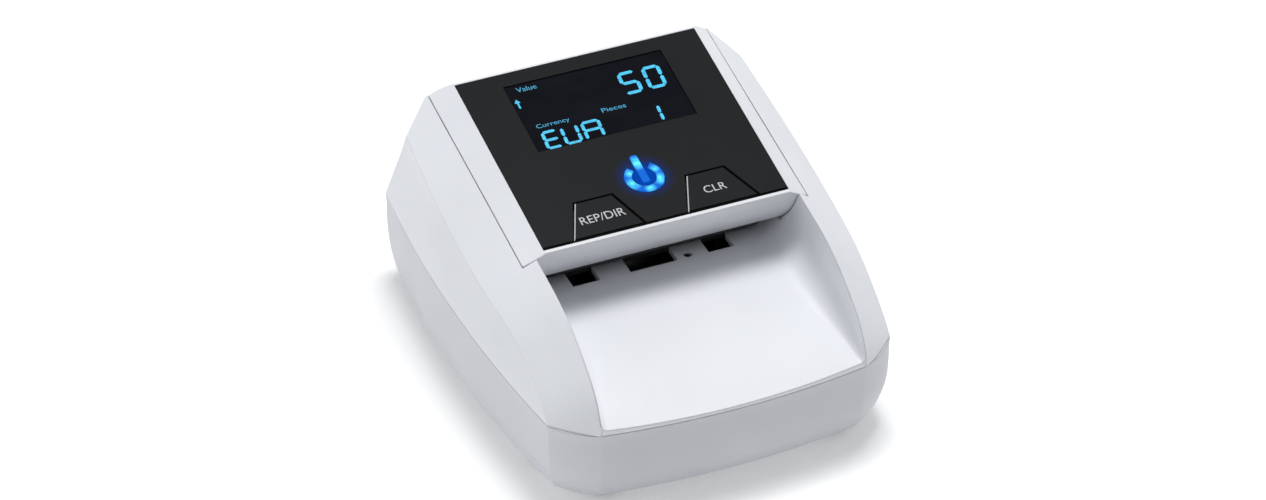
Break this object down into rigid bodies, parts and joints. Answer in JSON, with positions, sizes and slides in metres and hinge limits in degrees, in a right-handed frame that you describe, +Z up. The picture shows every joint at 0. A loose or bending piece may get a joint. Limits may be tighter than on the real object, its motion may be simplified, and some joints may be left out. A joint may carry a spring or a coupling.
{
  "type": "counterfeit bill detector",
  "caption": "Desk-top counterfeit bill detector: open note tray between two cheeks, feed slot, sloping black control panel with display and keys on a rear-hinged lid.",
  "frame": {"origin": "middle of the case's outline on the surface it stands on, at the feet bottoms", "axes": "+X to the user's right, -Y towards the user (tray side), +Y to the rear, +Z up"},
  "size_m": [0.126, 0.148, 0.0782],
  "materials": {
    "lower_case": "fine satin texture, cool grey white",
    "upper_case": "satin, cool white",
    "lid_case": "satin, cool white",
    "panel_black": "satin charcoal",
    "key_black": "satin charcoal",
    "key_light": "translucent blue, lit from below",
    "display_window": "smoked, near black",
    "black_plastic": "moulded black",
    "dark_frame": "moulded dark grey",
    "sensor_window": "dark polished",
    "circuit_board": "solder mask green",
    "head_metal": "plated",
    "screw_steel": "zinc plated",
    "shaft_steel": "ground",
    "bush_brass": "sintered",
    "roller_rubber": "matt rubber",
    "belt_rubber": "matt rubber",
    "pulley_plastic": "natural acetal",
    "foot_rubber": "matt rubber"
  },
  "bodies": {
    "chassis": {"base_shell": "lower_case", "rubber_feet": "foot_rubber", "top_shell": "upper_case", "case_screws": "screw_steel", "hinge_pins": "shaft_steel", "transport_frame": "dark_frame", "entry_sensor": "black_plastic", "frame_screws": "screw_steel", "lower_sensor_windows": "sensor_window", "lower_sensor_board": "circuit_board", "magnetic_head": "head_metal", "shaft_bushes": "bush_brass", "encoder_sensor": "black_plastic", "drive_motor": "head_metal", "motor_bracket": "screw_steel", "motor_belt": "belt_rubber", "shaft_belt": "belt_rubber", "dc_jack": "black_plastic", "service_port": "head_metal", "io_board": "circuit_board"},
    "front_drive": {"front_drive_shaft": "shaft_steel", "front_drive_rollers": "roller_rubber", "front_drive_pulleys": "pulley_plastic"},
    "rear_drive": {"rear_drive_shaft": "shaft_steel", "rear_drive_rollers": "roller_rubber", "rear_drive_pulley": "pulley_plastic", "encoder_disc": "pulley_plastic"},
    "motor_rotor": {"motor_shaft": "shaft_steel", "motor_pulley": "pulley_plastic"},
    "lid": {"lid_shell": "lid_case", "control_panel": "panel_black", "display_window": "display_window", "display_module": "black_plastic", "main_board": "circuit_board", "key_switches": "black_plastic", "power_led": "key_light", "buzzer": "black_plastic", "lid_lower_frame": "dark_frame", "lid_screws": "screw_steel", "upper_sensor_windows": "sensor_window", "upper_sensor_board": "circuit_board", "pinch_springs": "screw_steel"},
    "front_pinch": {"front_pinch_shaft": "shaft_steel", "front_pinch_rollers": "roller_rubber"},
    "rear_pinch": {"rear_pinch_shaft": "shaft_steel", "rear_pinch_rollers": "roller_rubber"},
    "report_key": {"report_button": "key_black"},
    "clear_key": {"clear_button": "key_black"},
    "power_key": {"power_button": "key_light"}
  },
  "joints": [
    {"name": "lid_hinge", "type": "hinge", "parent": "chassis", "child": "lid", "pos_m": [0, 0.048, 0.065], "axis": [-1, 0, 0], "range_deg": [0, 65]},
    {"name": "front_drive_spin", "type": "hinge", "parent": "chassis", "child": "front_drive", "pos_m": [0, 0.008, 0.0346], "axis": [1, 0, 0], "continuous": true},
    {"name": "rear_drive_spin", "type": "hinge", "parent": "chassis", "child": "rear_drive", "pos_m": [0, 0.04, 0.0346], "axis": [1, 0, 0], "continuous": true},
    {"name": "motor_spin", "type": "hinge", "parent": "chassis", "child": "motor_rotor", "pos_m": [0.03, 0.024, 0.018], "axis": [1, 0, 0], "continuous": true},
    {"name": "front_pinch_spin", "type": "hinge", "parent": "lid", "child": "front_pinch", "pos_m": [0, 0.008, 0.04795], "axis": [1, 0, 0], "continuous": true},
    {"name": "rear_pinch_spin", "type": "hinge", "parent": "lid", "child": "rear_pinch", "pos_m": [0, 0.04, 0.04795], "axis": [1, 0, 0], "continuous": true},
    {"name": "report_press", "type": "slide", "parent": "lid", "child": "report_key", "axis": [0, 0.1771, -0.9842], "range_m": [0, 0.0006], "stiffness_N_per_m": 800, "springref_m": -0.0005},
    {"name": "clear_press", "type": "slide", "parent": "lid", "child": "clear_key", "axis": [0, 0.1771, -0.9842], "range_m": [0, 0.0006], "stiffness_N_per_m": 800, "springref_m": -0.0005},
    {"name": "power_press", "type": "slide", "parent": "lid", "child": "power_key", "axis": [0, 0.1771, -0.9842], "range_m": [0, 0.0006], "stiffness_N_per_m": 800, "springref_m": -0.0005}
  ],
  "couplings": [
    {"joint": "rear_drive_spin", "follows": "front_drive_spin", "ratio": 1},
    {"joint": "motor_spin", "follows": "front_drive_spin", "ratio": 1.4615},
    {"joint": "front_pinch_spin", "follows": "front_drive_spin", "ratio": -1.6},
    {"joint": "rear_pinch_spin", "follows": "front_drive_spin", "ratio": -1.6}
  ]
}
